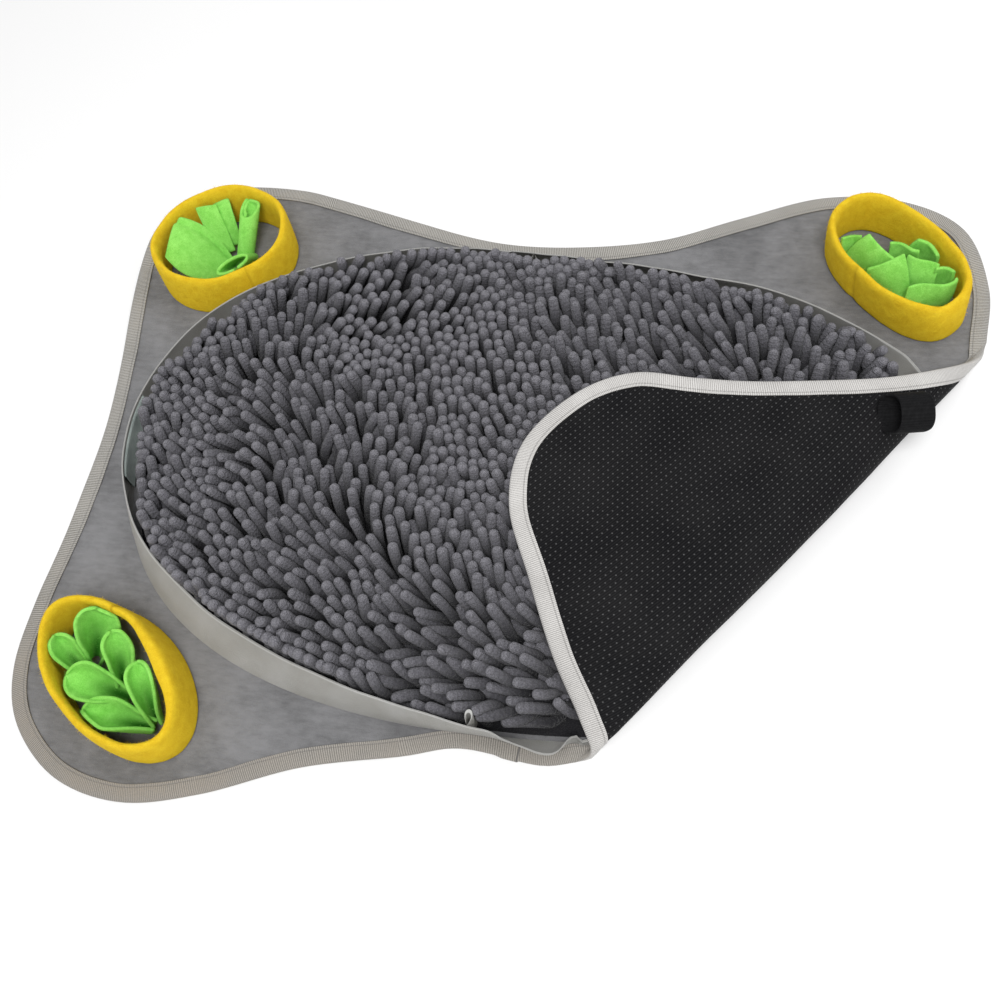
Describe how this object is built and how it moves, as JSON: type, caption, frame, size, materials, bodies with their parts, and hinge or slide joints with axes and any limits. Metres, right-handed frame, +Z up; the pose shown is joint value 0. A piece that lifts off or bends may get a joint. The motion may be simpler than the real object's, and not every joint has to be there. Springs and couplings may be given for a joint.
{
  "type": "snuffle mat",
  "caption": "Four-lobed cloth snuffle mat with one corner folded over: chenille noodles in a ribbon wall, felt collars with leaves on the corners, bound edge.",
  "frame": {"origin": "middle of the mat's bounding box, on the floor it lies on", "axes": "+X along the mat's length towards the folded end, +Y across it, away from the edge where the fold starts, +Z up"},
  "size_m": [0.6631, 0.5052, 0.0602],
  "materials": {
    "brushed_grey": "brushed cloth, matt",
    "knit_black": "black knit with small raised grip dots, matt",
    "grosgrain": "ribbed grey tape, matt",
    "ribbon_grey": "fine woven grey ribbon",
    "pale_mint": "smooth pale ribbon piece",
    "chenille": "dark grey terry chenille, matt",
    "felt_yellow": "yellow felt, matt",
    "felt_green": "green fleece felt, matt",
    "webbing_black": "black woven webbing"
  },
  "bodies": {
    "root": {"top_cloth": "brushed_grey", "backing": "knit_black", "binding": "grosgrain", "ring_wall": "ribbon_grey", "wall_patch": "pale_mint", "pile": "chenille", "cup_back_left": "felt_yellow", "cup_back_right": "felt_yellow", "cup_front_left": "felt_yellow", "leaves_back_left": "felt_green", "leaves_back_right": "felt_green", "leaves_front_left": "felt_green", "webbing_loop": "webbing_black"}
  },
  "joints": []
}
